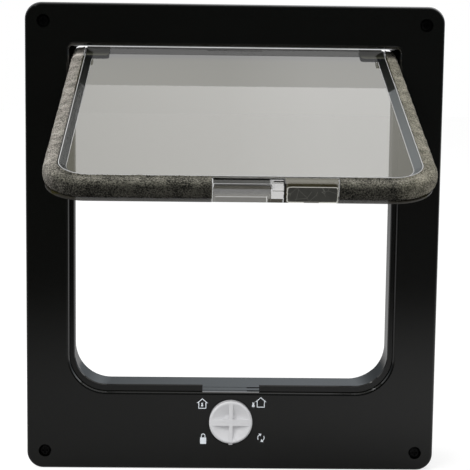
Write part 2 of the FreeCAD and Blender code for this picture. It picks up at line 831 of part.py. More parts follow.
def retaining_ring():
    """Snap ring in the groove at the end of the shaft."""
    y0, y1 = ring_y(), ring_y() + ring_thickness
    inner = journal_radius - ring_groove_depth + ring_gap
    ring = rod_y(0, dial_z, ring_radius, y0, y1).cut(rod_y(0, dial_z, inner, y0, y1))
    mouth = box(-ring_mouth / 2, ring_mouth / 2, y0 - past, y1 + past, dial_z - ring_radius - past, dial_z)
    return ring.cut(mouth)


def detent_spring():
    """Steel leaf held at both ends, with a raised nose that meets the notches of the hub."""
    end = chamber_half_width - leaf_end_gap
    base = leaf_height() - leaf_thickness / 2
    nose = leaf_nose_width / 2
    profile = [(-end, 0), (-2 * nose, 0), (-nose / 2, leaf_nose_height), (nose / 2, leaf_nose_height),
               (2 * nose, 0), (end, 0)]
    lower = [vec(x, 0, base + rise) for x, rise in profile]
    upper = [vec(x, 0, base + rise + leaf_thickness) for x, rise in reversed(profile)]
    face = Part.Face(Part.makePolygon(lower + upper + lower[:1]))
    face.translate(vec(0, leaf_middle_y() - leaf_width / 2, 0))
    return face.extrude(vec(0, leaf_width, 0))


save("front_frame", front_frame())
save("rear_frame", rear_frame())
for corner, place in zip(("top_left", "top_right", "bottom_left", "bottom_right"), screw_places()):
    save("screw_" + corner, frame_screw(*place))
save("flap_panel", flap_panel())
save("hinge_pin_left", hinge_pin(-1))
save("hinge_pin_right", hinge_pin(1))
save("pile_strip_left", pile_strip(-1))
save("pile_strip_right", pile_strip(1))
save("magnet_carrier", magnet_carrier())
save("flap_magnet", flap_magnet())
save("sill_magnet", sill_magnet())
save("sill_magnet_plug", magnet_plug())
save("lock_dial", lock_dial())
save("front_lock_disc", front_lock_disc())
save("rear_lock_disc", rear_lock_disc())
save("lock_cover", lock_cover())
save("cover_screws", cover_screws())
save("dial_retaining_ring", retaining_ring())
save("detent_spring", detent_spring())
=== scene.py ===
import math
import bpy
import bmesh
from mathutils import Matrix, Vector


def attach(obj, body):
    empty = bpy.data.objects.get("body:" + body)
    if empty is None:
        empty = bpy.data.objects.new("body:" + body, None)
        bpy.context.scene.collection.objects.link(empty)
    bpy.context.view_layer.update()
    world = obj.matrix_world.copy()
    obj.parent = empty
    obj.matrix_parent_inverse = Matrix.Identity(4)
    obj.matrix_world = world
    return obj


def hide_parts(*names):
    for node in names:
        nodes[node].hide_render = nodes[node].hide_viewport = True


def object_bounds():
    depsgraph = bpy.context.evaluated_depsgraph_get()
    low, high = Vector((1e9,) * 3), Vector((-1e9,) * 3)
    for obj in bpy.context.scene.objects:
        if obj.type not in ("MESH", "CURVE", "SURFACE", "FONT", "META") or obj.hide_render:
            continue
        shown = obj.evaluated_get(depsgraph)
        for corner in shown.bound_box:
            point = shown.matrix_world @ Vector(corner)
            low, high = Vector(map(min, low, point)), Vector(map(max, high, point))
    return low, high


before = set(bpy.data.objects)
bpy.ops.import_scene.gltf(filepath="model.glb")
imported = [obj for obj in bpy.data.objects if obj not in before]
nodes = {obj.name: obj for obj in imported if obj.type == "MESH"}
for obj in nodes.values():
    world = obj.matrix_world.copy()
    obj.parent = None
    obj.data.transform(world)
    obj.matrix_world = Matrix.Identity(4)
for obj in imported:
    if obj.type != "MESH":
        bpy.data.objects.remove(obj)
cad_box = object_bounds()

# Cat flap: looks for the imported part. Metres; +X right, +Z up, the outer face looks along -Y.

floor_z = cad_box[0].z
face_y = -0.017

# The flap. Its pieces are drawn as if it hung shut, by distance below the hinge axis, and then raised.
hinge_y, hinge_z = -0.004, 0.109
rest_angle = math.radians(71.3)
flap_half_width = 0.091
flap_foot = 0.191
flap_corner = 0.018
rim_top = 0.0035
block_left, block_right = -0.0137, 0.0472
sheet_bow = 0.099

# The brush seals. A side is -1 on the left and 1 on the right; a lean is a shift, and how much more at the foot.
pile_reach = 0.0971
pile_half_thickness = 0.00475
pile_middle = -0.0004
pile_crown = 0.0056
pile_top = -0.0050
pile_gap = 0.0001
pile_overlaps = {-1: 0.0011, 1: 0.0008}
pile_leans = {-1: (-0.0005, 0.0010), 1: (0.0007, -0.0001)}

# Places on the flap where its materials change, as limits across it, below its axis and in front of it, or
# beside its middle line, each with the width of the soft edge where that isn't 0.3 mm
far = 0.3
flap_patches = {
    # The right part is clearer than the left: a painted brighter reflection on that side
    "right_part": {"across": (0.02, far, 0.05)},
    # Painted shade below the frame's head: a darker band and a thin darker line
    "head_band": {"below": (-far, -0.0012)},
    "head_line": {"below": (-0.0012, -0.0005, 0.0002)},
    "lug": {"beside": (0.0752, 0.0900), "below": (-far, 0.0092), "front": (0.0027, far)},
    # The lug's lower wall is painted dark: painted shade under the lug
    "lug_wall": {"front": (0.0, 0.00486, 0.0001)},
    "beside_seal": {"beside": (0.0912, far)},
    "under_seal": {"below": (0.1913, far)},
    "fin_back": {"front": (-far, -0.0040)},
    "block": {"below": (0.1908, far), "across": (-0.0138, 0.0474, 0.0001)},
    "magnet_half": {"across": (0.0214, far)},
    "latch_end": {"below": (0.1909, far, 0.0001), "across": (-0.0138, 0.0209), "front": (-far, 0.0049)},
    "block_end": {"below": (0.1972, far, 0.0001)},
    # The slot is filled dark: painted shade in its depth
    "slot": {"below": (0.1910, 0.1941, 0.0001), "across": (-0.0131, 0.0213, 0.0001),
             "front": (0.0028, 0.00492, 0.0001)},
    "slot_left": {"across": (-far, 0.0144, 0.0001)},
    "slot_front": {"front": (0.0043, far, 0.0001)},
}
seam_left, seam_right = 0.0210, 0.0218
# Where the pile takes painted light: a lit left side, a dim right side, painted sheen on its edges and tips, a
# painted lift at the left side's head
pile_patches = {
    "front_edge": {"front": (0.0033, far, 0.0022)},
    "back_edge": {"front": (-far, -0.0036, 0.0016)},
    "right": {"across": (0.0810, far, 0.014)},
    "tips": {"across": (0.0972, far, 0.0009)},
    "left": {"across": (-far, -0.0885, 0.010), "below": (-far, 0.183, 0.016)},
    "left_head": {"below": (-far, 0.010, 0.006)},
}

# Marks on the end of the catch block: pale ones are painted highlights on its edges and round its window, dark ones
# painted shade in its slot and steps. In millimetres: left, right, low, high, corner, width of the line or none for
# a filled patch, grey level and how much of it covers what lies behind
catch_painted_light_marks = [
    (-12.8, 14.7, -5.6, 3.5, 1.3, 0, 0.07, 0.84),
    (-11.8, 12.6, -5.6, -2.2, 0.1, 0, 0.06, 0.87),
    (14.9, 20.9, -3.0, 5.0, 0.1, 0, 0.10, 0.48),
    (13.6, 20.5, -5.6, -3.0, 0.1, 0, 0.025, 0.97),
    (-12.8, 14.7, -5.6, 3.5, 1.3, 0.34, 0.04, 0.92),
    (-11.6, 12.6, 1.0, 1.4, 0.05, 0, 0.03, 0.93),
    (-11.6, 12.6, -2.3, -1.9, 0.05, 0, 0.30, 0.70),
    (12.6, 13.0, -5.6, -1.7, 0.05, 0, 0.50, 0.70),
    (14.7, 21.2, 0.95, 1.3, 0.05, 0, 0.05, 0.92),
    (-13.7, -13.2, -5.6, 5.2, 0.05, 0, 0.10, 0.85),
    (22.6, 46.9, -4.9, 3.2, 1.3, 0.5, 0.60, 0.95),
    (23.0, 30.4, 3.6, 4.2, 0.2, 0, 0.012, 0.98),
    (38.6, 46.6, 3.5, 4.4, 0.3, 0, 0.014, 0.98),
    (23.5, 46.2, -5.6, -4.55, 0.1, 0, 0.86, 0.95),
    (30.7, 38.0, -5.6, -4.6, 0.1, 0, 0.12, 0.95),
    (46.7, 47.1, -5.6, 5.2, 0.05, 0, 0.30, 0.85),
    (20.9, 22.1, -5.6, 5.2, 0.1, 0, 0.006, 1.0),
]
mark_edge = 0.00012


# Tools for shader nodes

COLOR, FLOAT, VECTOR = "NodeSocketColor", "NodeSocketFloat", "NodeSocketVector"


def grey(value):
    return (value, value, value, 1.0)


def place(tree, kind, **settings):
    """Adds a node, with its sockets and settings by name."""
    node = tree.nodes.new(kind)
    for key, value in settings.items():
        if key in node.inputs:
            node.inputs[key].default_value = value
        else:
            setattr(node, key, value)
    return node


def place_group(tree, group):
    node = tree.nodes.new("ShaderNodeGroup")
    node.node_tree = group
    return node


def feed(tree, node, sources):
    """Links each source to the node's socket of that name."""
    for name, source in sources.items():
        tree.links.new(source, node.inputs[name])


def set_values(node, values):
    """Sets the node's own sockets to constants."""
    for name, value in values.items():
        node.inputs[name].default_value = value


def maths(tree, operation, *values, clamped=False):
    """A Math node on sockets and numbers."""
    node = place(tree, "ShaderNodeMath", operation=operation, use_clamp=clamped)
    for index, value in enumerate(values):
        if isinstance(value, (int, float)):
            node.inputs[index].default_value = value
        else:
            tree.links.new(value, node.inputs[index])
    return node.outputs[0]


def product(tree, first, *others):
    """All of them multiplied, which for masks is where they all hold."""
    for other in others:
        first = maths(tree, "MULTIPLY", first, other)
    return first


def blend(tree, mask, first, second):
    """Goes from the first value or colour to the second where the mask is one."""
    colored = isinstance(second, tuple) or getattr(second, "type", "") == "RGBA"
    kind, slots, result = ("RGBA", (6, 7), 2) if colored else ("FLOAT", (2, 3), 0)
    node = place(tree, "ShaderNodeMix", data_type=kind)
    tree.links.new(mask, node.inputs[0])
    for slot, value in zip(slots, (first, second)):
        if isinstance(value, (int, float, tuple)):
            node.inputs[slot].default_value = value
        else:
            tree.links.new(value, node.inputs[slot])
    return node.outputs[result]


def ramp(tree, source, start, end, low, high, smooth=False):
    """Turns a value from start to end into one from low to high, and holds it beyond them."""
    node = place(tree, "ShaderNodeMapRange", clamp=True)
    if smooth:
        node.interpolation_type = "SMOOTHSTEP"
    set_values(node, {"From Min": start, "From Max": end, "To Min": low, "To Max": high})
    feed(tree, node, {"Value": source})
    return node.outputs[0]


def span(tree, source, low, high):
    """One between two limits with hard ends, of plain nodes, for the shine of a material."""
    return product(tree, maths(tree, "GREATER_THAN", source, low), maths(tree, "LESS_THAN", source, high))


def part_point(tree):
    """The point of the surface, in the part's own frame."""
    return place(tree, "ShaderNodeTexCoord").outputs["Object"]


def axes_of(tree, vector):
    parts = place(tree, "ShaderNodeSeparateXYZ")
    tree.links.new(vector, parts.inputs[0])
    return [parts.outputs[axis] for axis in "XYZ"]


def reach_along(tree, vector, direction):
    """How far a vector reaches in a direction."""
    dot = place(tree, "ShaderNodeVectorMath", operation="DOT_PRODUCT")
    tree.links.new(vector, dot.inputs[0])
    dot.inputs[1].default_value = direction
    return dot.outputs["Value"]


def noise(tree, vector, **settings):
    node = place(tree, "ShaderNodeTexNoise", **settings)
    feed(tree, node, {"Vector": vector})
    return node.outputs["Fac"]


# Node groups shared by the materials

def new_group(name, inputs, outputs):
    """An empty group with named sockets, the sockets of its input and its output node."""
    group = bpy.data.node_groups.new(name, "ShaderNodeTree")
    for socket, kind, value in inputs:
        made = group.interface.new_socket(name=socket, in_out="INPUT", socket_type=kind)
        made.default_value = value
    for socket, kind in outputs:
        group.interface.new_socket(name=socket, in_out="OUTPUT", socket_type=kind)
    return group, group.nodes.new("NodeGroupInput").outputs, group.nodes.new("NodeGroupOutput")


def build_moulded_finish():
    """Fine variation of colour, gloss and surface of a moulded or rolled surface."""
    group, source, out = new_group(
        "moulded_finish",
        [("Color", COLOR, grey(0.5)), ("Second Color", COLOR, grey(0.5)), ("Grain Scale", FLOAT, 900.0),
         ("Stretch", VECTOR, (1, 1, 1)), ("Roughness", FLOAT, 0.3), ("Roughness Change", FLOAT, 0.1),
         ("Bump Depth", FLOAT, 0.00002)],
        [("Color", COLOR), ("Roughness", FLOAT), ("Normal", VECTOR)])
    point = part_point(group)
    stretched = place(group, "ShaderNodeMapping")
    feed(group, stretched, {"Vector": point, "Scale": source["Stretch"]})
    grain = place(group, "ShaderNodeTexNoise", Detail=4.0, Roughness=0.6)
    feed(group, grain, {"Vector": stretched.outputs["Vector"], "Scale": source["Grain Scale"]})
    grain = grain.outputs["Fac"]
    broad = maths(group, "MULTIPLY", noise(group, point, Scale=18.0, Detail=2.0), 0.5)
    share = maths(group, "MULTIPLY_ADD", grain, 0.5, broad)
    bump = place(group, "ShaderNodeBump", Strength=1.0)
    feed(group, bump, {"Distance": source["Bump Depth"], "Height": grain})
    feed(group, out, {
        "Color": blend(group, share, source["Color"], source["Second Color"]),
        "Roughness": maths(group, "MULTIPLY_ADD", share, source["Roughness Change"], source["Roughness"]),
        "Normal": bump.outputs["Normal"]})
    return group


def build_flap_place():
    """Where a point lies on the flap: across, below the hinge axis and in front of it, in metres."""
    group, _, out = new_group("flap_place", [], [("Across", FLOAT), ("Below", FLOAT), ("Front", FLOAT)])
    shifted = place(group, "ShaderNodeVectorMath", operation="SUBTRACT")
    group.links.new(part_point(group), shifted.inputs[0])
    shifted.inputs[1].default_value = (0, hinge_y, hinge_z)
    from_axis = shifted.outputs[0]
    feed(group, out, {"Across": axes_of(group, from_axis)[0],
                      "Below": reach_along(group, from_axis, flap_down),
                      "Front": reach_along(group, from_axis, flap_front)})
    return group


def build_between():
    """One where a value lies between two limits, with soft ends."""
    group, source, out = new_group(
        "between", [("Value", FLOAT, 0.0), ("Low", FLOAT, 0.0), ("High", FLOAT, 1.0), ("Edge", FLOAT, 0.0003)],
        [("Mask", FLOAT)])
    rises = []
    for more, less in (("Value", "Low"), ("High", "Value")):
        gap = maths(group, "SUBTRACT", source[more], source[less])
        rises.append(maths(group, "ADD", maths(group, "DIVIDE", gap, source["Edge"]), 0.5, clamped=True))
    feed(group, out, {"Mask": product(group, *rises)})
    return group


def build_box_mark():
    """A round-cornered box across and in front of the hinge: filled, or only its border."""
    names = ("Across", "Front", "Middle across", "Middle front", "Half across", "Half front", "Corner", "Line")
    group, source, out = new_group("box_mark", [(name, FLOAT, 0.0) for name in names], [("Mask", FLOAT)])
    beyond, outside = [], []
    for way in ("across", "front"):
        off = maths(group, "ABSOLUTE", maths(group, "SUBTRACT", source[way.title()], source["Middle " + way]))
        core = maths(group, "SUBTRACT", source["Half " + way], source["Corner"])
        beyond.append(maths(group, "SUBTRACT", off, core))
        outside.append(maths(group, "POWER", maths(group, "MAXIMUM", beyond[-1], 0.0), 2.0))
    outer = maths(group, "SQRT", maths(group, "ADD", *outside))
    inner = maths(group, "MINIMUM", maths(group, "MAXIMUM", *beyond), 0.0)
    depth = maths(group, "SUBTRACT", maths(group, "ADD", outer, inner), source["Corner"])
    border = maths(group, "SUBTRACT", maths(group, "ABSOLUTE", depth), product(group, source["Line"], 0.5))
    drawn = maths(group, "GREATER_THAN", source["Line"], 0.00001)
    soft = maths(group, "SUBTRACT", 0.5, maths(group, "DIVIDE", blend(group, drawn, depth, border), mark_edge))
    feed(group, out, {"Mask": maths(group, "MINIMUM", maths(group, "MAXIMUM", soft, 0.0), 1.0)})
    return group


# Directions on the flap at its angle of rest, from its axis to its foot and out of its front
flap_down = (0, -math.sin(rest_angle), -math.cos(rest_angle))
flap_front = (0, -math.cos(rest_angle), math.sin(rest_angle))

moulded_finish = build_moulded_finish()
flap_place = build_flap_place()
between = build_between()
box_mark = build_box_mark()


# Masks from the flap's own places

def flap_spot(tree):
    """The places of a point on the flap, by the names that the patches use."""
    node = place_group(tree, flap_place)
    return {name.lower(): node.outputs[name] for name in ("Across", "Below", "Front")}


def where(tree, source, low, high, edge=0.0003):
    """A mask that is one between two limits, with soft edges, all in metres."""
    node = place_group(tree, between)
    feed(tree, node, {"Value": source})
    set_values(node, {"Low": low, "High": high, "Edge": edge})
    return node.outputs["Mask"]


def patch_masks(tree, spot, patches):
    return {name: product(tree, *(where(tree, spot[way], *ends) for way, ends in limits.items()))
            for name, limits in patches.items()}


def lay_over(tree, color, opacity, layers):
    """Lays a colour, an opacity or both over those before, where each layer's mask is one."""
    for mask, layer_color, layer_opacity in layers:
        if layer_color is not None:
            color = blend(tree, mask, color, layer_color)
        if layer_opacity is not None:
            opacity = blend(tree, mask, opacity, layer_opacity)
    return color, opacity


def mark_layers(tree, across, front, marks):
    """A layer for each mark of painted light or shade, in a faintly warm grey."""
    layers = []
    for left, right, low, high, corner, line, level, cover in marks:
        node = place_group(tree, box_mark)
        feed(tree, node, {"Across": across, "Front": front})
        for socket, value in (("Middle across", (left + right) / 2), ("Middle front", (low + high) / 2),
                              ("Half across", (right - left) / 2), ("Half front", (high - low) / 2),
                              ("Corner", corner), ("Line", line)):
            node.inputs[socket].default_value = value / 1000
        layers.append((node.outputs["Mask"], (level + 0.020, level + 0.014, level * 0.93, 1), cover))
    return layers


def wavered(tree, value, amount):
    """Shakes a place a little, as a moulded edge is seen through its own thickness."""
    shake = maths(tree, "SUBTRACT", noise(tree, part_point(tree), Scale=900.0, Detail=1.0), 0.5)
    return maths(tree, "ADD", value, product(tree, shake, amount))


# Materials

def new_material(name):
    material = bpy.data.materials.new(name)
    material.use_nodes = True
    tree = material.node_tree
    return material, tree, tree.nodes["Principled BSDF"]


def finish_node(tree, **values):
    node = place_group(tree, moulded_finish)
    set_values(node, {key.replace("_", " ").title(): value for key, value in values.items()})
    return node


def moulded(name, color, second, grain=900.0, roughness=0.2, change=0.08, depth=0.00001, stretch=(1, 1, 1),
            metallic=0.0, ior=1.5):
    """A plastic or metal whose colour wanders between two close ones."""
    material, tree, shader = new_material(name)
    finish = finish_node(tree, color=color, second_color=second, grain_scale=grain, stretch=stretch,
                         roughness=roughness, roughness_change=change, bump_depth=depth)
    feed(tree, shader, {"Base Color": finish.outputs["Color"], "Roughness": finish.outputs["Roughness"],
                        "Normal": finish.outputs["Normal"]})
    set_values(shader, {"Metallic": metallic, "IOR": ior})
    return material


def tinted_flap():
    """Clear smoked plastic: each front surface takes its share of what is behind it."""
    material, tree, shader = new_material("flap_tint")
    finish = finish_node(tree, color=(0.035, 0.031, 0.009, 1), second_color=(0.041, 0.037, 0.013, 1),
                         grain_scale=300.0, roughness=0.02, roughness_change=0.03, bump_depth=0.000004)
    slot_shade_and_seam_dark = (0.006, 0.006, 0.005, 1)
    # The right of the sheet lets more through than the left: a painted brighter reflection on that side
    left_opacity, right_opacity = 0.72, 0.675

    spot = flap_spot(tree)
    spot["beside"] = maths(tree, "ABSOLUTE", spot["across"])
    mask = patch_masks(tree, spot, flap_patches)
    shaken = wavered(tree, spot["across"], 0.0007)
    fin = product(tree, maths(tree, "MAXIMUM", mask["beside_seal"], mask["under_seal"]), mask["fin_back"])
    end = product(tree, mask["block"], maths(tree, "MAXIMUM", mask["latch_end"], mask["block_end"]))
    slot = product(tree, mask["slot"], maths(tree, "MAXIMUM", mask["slot_left"], mask["slot_front"]))
    seam = product(tree, mask["block"], where(tree, shaken, seam_left, seam_right, 0.0001))

    color, opacity = finish.outputs["Color"], blend(tree, mask["right_part"], left_opacity, right_opacity)
    color, opacity = lay_over(tree, color, opacity, [
        # Painted shade at the head of the sheet, under the frame
        (mask["head_band"], (0.040, 0.036, 0.032, 1), 0.88),
        (mask["head_line"], None, 0.93),
        (mask["lug"], (0.085, 0.085, 0.066, 1), 0.95),
        # Painted shade on the lug's lower wall
        (product(tree, mask["lug"], mask["lug_wall"]), (0.018, 0.019, 0.022, 1), None),
        (fin, (0.026, 0.024, 0.019, 1), 0.95),
        (mask["block"], (0.05, 0.05, 0.045, 1), 0.55),
        (product(tree, mask["block"], mask["magnet_half"]), (0.046, 0.041, 0.020, 1), 0.94),
    ])
    # The end of the block takes the painted highlights and shade of the catch marks
    end_color, end_opacity = lay_over(tree, color, opacity, mark_layers(tree, shaken, spot["front"], catch_painted_light_marks))
    # Painted shade fills the slot; the seam between latch and window is drawn dark as well
    color, opacity = lay_over(tree, color, opacity, [
        (end, end_color, end_opacity), (slot, slot_shade_and_seam_dark, 1.0), (seam, slot_shade_and_seam_dark, 1.0)])

    # The block's surfaces shine less than the sheet
    point = part_point(tree)
    axis_reach = hinge_y * flap_down[1] + hinge_z * flap_down[2]
    block_top, block_sides = flap_patches["block"]["below"][0], flap_patches["block"]["across"][:2]
    reach = reach_along(tree, point, flap_down)
    shine_off = product(tree, span(tree, reach, axis_reach + block_top, axis_reach + far),
                        span(tree, axes_of(tree, point)[0], *block_sides))
    # The sheet bows a little, which turns what it mirrors
    bow = place(tree, "ShaderNodeBump", Strength=1.0, Distance=1.0)
    feed(tree, bow, {"Height": product(tree, spot["below"], -sheet_bow), "Normal": finish.outputs["Normal"]})
    facing = maths(tree, "SUBTRACT", 1.0, place(tree, "ShaderNodeNewGeometry").outputs["Backfacing"])
    feed(tree, shader, {
        "Base Color": color, "Roughness": finish.outputs["Roughness"], "Normal": bow.outputs["Normal"],
        "Specular IOR Level": maths(tree, "MULTIPLY_ADD", shine_off, -0.34, 0.5),
        "Alpha": product(tree, opacity, facing)})
    set_values(shader, {"IOR": 1.58})
    return material


def frosted_rim():
    """Fine spark texture on clear plastic, with painted shade under the head of the frame and painted light below it
    and down its right side.
    """
    material, tree, shader = new_material("rim_frost")
    finish = finish_node(tree, color=(0.010, 0.012, 0.011, 1), second_color=(0.030, 0.033, 0.030, 1),
                         grain_scale=700.0, roughness=0.22, roughness_change=0.2, bump_depth=0.00002)
    # Painted shade: dark under the frame's head, above a slanted line
    shade_end, shade_slope = 0.0595, -0.03
    spot = flap_spot(tree)
    slanted = maths(tree, "ADD", spot["below"], product(tree, spot["across"], shade_slope))
    shaded = where(tree, slanted, -far, shade_end, 0.0012)
    # Painted light: lighter down the right side
    right = where(tree, spot["across"], 0.0, far, 0.02)
    color = blend(tree, right, finish.outputs["Color"], (0.125, 0.135, 0.138, 1))
    feed(tree, shader, {
        "Base Color": blend(tree, shaded, color, (0.006, 0.007, 0.006, 1)), "Alpha": blend(tree, shaded, 0.62, 0.88),
        "Roughness": finish.outputs["Roughness"], "Normal": finish.outputs["Normal"]})
    set_values(shader, {"Specular IOR Level": 0.3, "Specular Tint": (1.0, 0.96, 0.90, 1)})
    return material


def tuft_shade(tree, tufts, dark, light):
    """A colour from dark between the tufts to light on them."""
    shade = place(tree, "ShaderNodeValToRGB")
    for stop, position, color in zip(shade.color_ramp.elements, (0.42, 0.60), (dark, light)):
        stop.position = position
        stop.color = color
    feed(tree, shade, {"Fac": tufts})
    return shade.outputs["Color"]


def pile_material():
    """Grey pile with painted light and shade: painted lit down the left side, dimmer down the right, painted dark in
    the middle of the foot, with painted sheen on its edges and the right tips and a painted lift at the head of the
    left side.
    """
    material, tree, shader = new_material("seal_pile")
    point = part_point(tree)
    tufts = noise(tree, point, Scale=1250.0, Detail=3.0, Roughness=0.75)
    patches = noise(tree, point, Scale=160.0, Detail=1.0)
    mixed = maths(tree, "ADD", product(tree, tufts, 0.78), product(tree, patches, 0.22))
    foot_painted_dark, left_painted_lit, right_painted_dim, edge_painted_sheen = (tuft_shade(tree, mixed, dark, light) for dark, light in (
        ((0.004, 0.004, 0.003, 1), (0.075, 0.072, 0.058, 1)), ((0.075, 0.070, 0.060, 1), (0.40, 0.375, 0.335, 1)),
        ((0.062, 0.059, 0.043, 1), (0.27, 0.255, 0.197, 1)), ((0.012, 0.012, 0.009, 1), (0.16, 0.155, 0.125, 1))))

    mask = patch_masks(tree, flap_spot(tree), pile_patches)
    # Painted shade in the foot, painted sheen on the edges and the right tips, painted light down the left and at
    # its head
    color, _ = lay_over(tree, foot_painted_dark, None, [
        (maths(tree, "MAXIMUM", mask["front_edge"], mask["back_edge"]), edge_painted_sheen, None),
        (mask["right"], right_painted_dim, None),
        (product(tree, mask["tips"], 0.7), (0.34, 0.33, 0.29, 1), None),
        (mask["left"], left_painted_lit, None),
        (product(tree, mask["left"], mask["left_head"]), (0.85, 0.80, 0.72, 1), None),
    ])
    bump = place(tree, "ShaderNodeBump", Strength=1.0, Distance=0.0009)
    feed(tree, bump, {"Height": tufts})
    glow = maths(tree, "MAXIMUM", maths(tree, "MULTIPLY_ADD", mixed, 3.0, -1.25), 0.02)
    feed(tree, shader, {"Base Color": color, "Normal": bump.outputs["Normal"], "Sheen Weight": glow,
                        "Roughness": maths(tree, "MULTIPLY_ADD", tufts, 0.2, 0.7)})
    set_values(shader, {"Sheen Roughness": 0.35, "Sheen Tint": (1.0, 0.93, 0.84, 1), "Specular IOR Level": 0.1})
    return material


def carrier_scuffs(material):
    """Fine pale scratches over the dark carrier, as on a part that rubs against the sill."""
    tree = material.node_tree
    shader = tree.nodes["Principled BSDF"]
    point = part_point(tree)
    cells = place(tree, "ShaderNodeTexVoronoi", feature="DISTANCE_TO_EDGE", Scale=210.0, Randomness=1.0)
    feed(tree, cells, {"Vector": point})
    patches = noise(tree, point, Scale=90.0, Detail=2.0)
    scratch = product(tree, maths(tree, "LESS_THAN", cells.outputs["Distance"], 0.018),
                      maths(tree, "GREATER_THAN", patches, 0.47))
    plain = shader.inputs["Base Color"].links[0].from_socket
    shaded = blend(tree, patches, plain, (0.018, 0.018, 0.014, 1))
    feed(tree, shader, {"Base Color": blend(tree, scratch, shaded, (0.11, 0.11, 0.095, 1))})


def bright_edges(material, strength):
    """A clear coat on the rounded edges alone, where the mould was polished."""
    tree = material.node_tree
    shader = tree.nodes["Principled BSDF"]
    facing = axes_of(tree, place(tree, "ShaderNodeNewGeometry").outputs["Normal"])[1]
    turned = where(tree, maths(tree, "ABSOLUTE", facing), 0.25, 0.95, 0.04)
    feed(tree, shader, {"Coat Weight": product(tree, turned, strength)})
    set_values(shader, {"Coat Roughness": 0.12, "Coat IOR": 2.4})


def dull_head(material):
    """Takes the shine off the walls of the passage beside and above the hinge."""
    tree = material.node_tree
    wall_x, head_z = 0.1052, 0.1163
    across, deep, up = axes_of(tree, part_point(tree))
    inside = product(tree, span(tree, up, 0.0, head_z), span(tree, deep, face_y + 0.0008, far),
                     span(tree, across, -wall_x, wall_x), ramp(tree, up, 0.077, 0.083, 0.0, 0.5))
    feed(tree, tree.nodes["Principled BSDF"], {"Specular IOR Level": maths(tree, "SUBTRACT", 0.5, inside)})


frame_gloss = moulded("frame_gloss", (0.0022, 0.0023, 0.0019, 1), (0.0034, 0.0036, 0.0030, 1), grain=240.0,
                      roughness=0.10, change=0.06, depth=0.000004)
rear_gloss = moulded("rear_gloss", grey(0.0020), grey(0.0032), grain=240.0, roughness=0.14, change=0.06,
                     depth=0.000004)
screw_black = moulded("screw_black", grey(0.0004), grey(0.0010), roughness=0.22, depth=0.00002)
lock_black = moulded("lock_black", grey(0.0018), grey(0.0030), grain=400.0, roughness=0.14)
pin_steel = moulded("pin_steel", grey(0.42), grey(0.55), stretch=(0.05, 1, 1), roughness=0.22, metallic=1.0)
spring_steel = moulded("spring_steel", grey(0.40), grey(0.50), stretch=(0.05, 1, 1), roughness=0.2, metallic=1.0)
magnet_nickel = moulded("magnet_nickel", (0.40, 0.39, 0.36, 1), (0.48, 0.47, 0.43, 1), roughness=0.3, metallic=1.0)
carrier_grey = moulded("carrier_grey", (0.028, 0.028, 0.024, 1), (0.085, 0.085, 0.072, 1), grain=420.0,
                       roughness=0.40)
dial_white = moulded("dial_white", (0.72, 0.72, 0.735, 1), (0.80, 0.80, 0.815, 1), grain=260.0, roughness=0.12)
sign_white = moulded("sign_white", (0.84, 0.89, 0.95, 1), (0.90, 0.94, 0.98, 1), grain=2500.0, roughness=0.45)
rim_painted_highlight = moulded("rim_painted_highlight", grey(0.28), grey(0.50), grain=260.0, roughness=0.08, depth=0.000004)
rim_frost = frosted_rim()
flap_tint = tinted_flap()
seal_pile = pile_material()

set_values(screw_black.node_tree.nodes["Principled BSDF"], {"Specular IOR Level": 0.12})
carrier_scuffs(carrier_grey)
bright_edges(frame_gloss, 0.4)
bright_edges(screw_black, 1.0)
for black in (frame_gloss, rear_gloss):
    dull_head(black)

node_finishes = {
    "front_frame": frame_gloss, "rear_frame": rear_gloss, "flap_panel": flap_tint,
    "lock_cover": lock_black, "sill_magnet_plug": lock_black, "front_lock_disc": lock_black,
    "rear_lock_disc": lock_black, "magnet_carrier": carrier_grey, "flap_magnet": magnet_nickel,
    "sill_magnet": magnet_nickel, "hinge_pin_left": pin_steel, "hinge_pin_right": pin_steel,
    "cover_screws": pin_steel, "lock_dial": dial_white, "dial_retaining_ring": spring_steel,
    "detent_spring": spring_steel, "screw_top_left": screw_black, "screw_top_right": screw_black,
    "screw_bottom_left": screw_black, "screw_bottom_right": screw_black,
}
for name, finish in node_finishes.items():
    nodes[name].data.materials.clear()
    nodes[name].data.materials.append(finish)


# Tools for modelling

def deselect_all():
    if bpy.context.mode != "OBJECT":
        bpy.ops.object.mode_set(mode="OBJECT")
    bpy.ops.object.select_all(action="DESELECT")


def pick(piece):
    """Selects the piece alone and makes it the active one."""
    deselect_all()
    piece.select_set(True)
    bpy.context.view_layer.objects.active = piece


def settle(piece):
    """Puts the piece's place into its mesh."""
    pick(piece)
    bpy.ops.object.transform_apply(location=True, rotation=True, scale=True)


def apply_modifier(piece, modifier):
    pick(piece)
    bpy.ops.object.modifier_apply(modifier=modifier.name)


def raise_up(piece):
    """Turns a piece that is drawn on the shut flap to the angle of rest."""
    axis = Vector((0, hinge_y, hinge_z))
    piece.data.transform(Matrix.Translation(axis) @ Matrix.Rotation(-rest_angle, 4, "X")
                         @ Matrix.Translation(-axis))
    piece.data.update()


def drawn_section(name, x, z, points):
    """A closed outline in the level plane at x and z: the section of a strip, ready in edit mode."""
    deselect_all()
    bpy.ops.mesh.primitive_circle_add(vertices=len(points), radius=0.001, fill_type="NGON", location=(0, 0, z))
    piece = bpy.context.object
    piece.name = name
    settle(piece)
    for vertex, (across, deep) in zip(piece.data.vertices, points):
        vertex.co = (x + across, hinge_y + deep, z)
    bpy.ops.object.mode_set(mode="EDIT")
    bpy.ops.mesh.select_mode(type="VERT")
    bpy.ops.mesh.select_all(action="SELECT")
    return piece


def extrude_by(x, z):
    """Draws the selected section out sideways or upwards."""
    bpy.ops.mesh.extrude_region_move(TRANSFORM_OT_translate={"value": (x, 0, z)})


